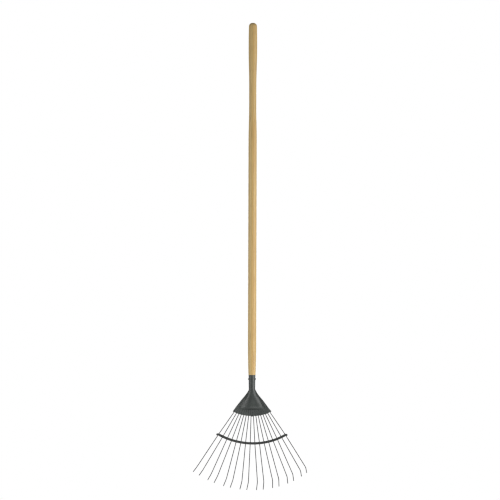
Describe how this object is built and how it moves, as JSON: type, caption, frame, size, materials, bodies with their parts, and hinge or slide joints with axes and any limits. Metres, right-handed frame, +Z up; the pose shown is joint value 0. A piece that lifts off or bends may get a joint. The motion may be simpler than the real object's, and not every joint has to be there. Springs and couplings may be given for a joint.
{
  "type": "leaf rake",
  "caption": "Leaf rake with a long turned wooden shaft, a pressed steel head and a braced fan of hooked spring wire tines.",
  "frame": {"origin": "on the shaft's axis, at the middle of the grip swell, 72 mm below the shaft's top end", "axes": "+Z up the shaft towards its free end, +X to the right across the fan of tines, -Y to the front, where the tine hooks point"},
  "size_m": [0.3866, 0.0862, 1.5818],
  "materials": {
    "shaft_wood": "turned ash, clear lacquered, straight lengthwise grain",
    "head_coat": "pressed steel, satin dark grey powder coat",
    "rivet_coat": "steel rivet under the same dark grey powder coat",
    "brace_coat": "crimped steel strip, dark grey powder coat",
    "tine_coat": "sprung steel wire, dark grey powder coat"
  },
  "bodies": {
    "root": {"handle": "shaft_wood", "head_shell": "head_coat", "back_plate": "head_coat", "socket_rivet": "rivet_coat", "tine_01": "tine_coat", "tine_02": "tine_coat", "tine_03": "tine_coat", "tine_04": "tine_coat", "tine_05": "tine_coat", "tine_06": "tine_coat", "tine_07": "tine_coat", "tine_08": "tine_coat", "tine_09": "tine_coat", "tine_10": "tine_coat", "tine_11": "tine_coat", "tine_12": "tine_coat", "tine_13": "tine_coat", "tine_14": "tine_coat", "tine_15": "tine_coat", "tine_16": "tine_coat", "brace_front_strip": "brace_coat", "brace_back_strip": "brace_coat", "brace_rivets": "rivet_coat"}
  },
  "joints": []
}
